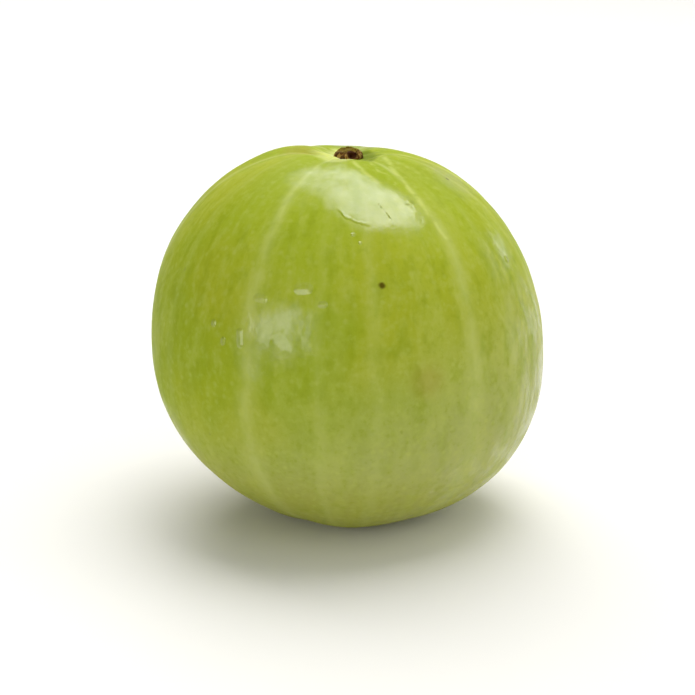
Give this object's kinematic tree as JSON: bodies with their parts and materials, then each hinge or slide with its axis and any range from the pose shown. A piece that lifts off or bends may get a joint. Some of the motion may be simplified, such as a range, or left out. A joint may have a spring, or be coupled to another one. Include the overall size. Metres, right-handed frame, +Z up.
{
  "type": "indian gooseberry",
  "caption": "Round pale green fruit with faint segments and a dried stalk stub in a shallow pit on top; rests on a small flat spot.",
  "frame": {"origin": "bottom centre of the fruit's box, on the level of the flat spot that it rests on", "axes": "+Z up, from the rest spot to the stalk; -Y is the front, +X the right side seen from the front"},
  "size_m": [0.036, 0.0362, 0.0343],
  "materials": {
    "fruit_skin": "gloss",
    "dry_stalk": "matte"
  },
  "bodies": {
    "root": {"fruit": "fruit_skin", "stalk_stub": "dry_stalk"}
  },
  "joints": []
}
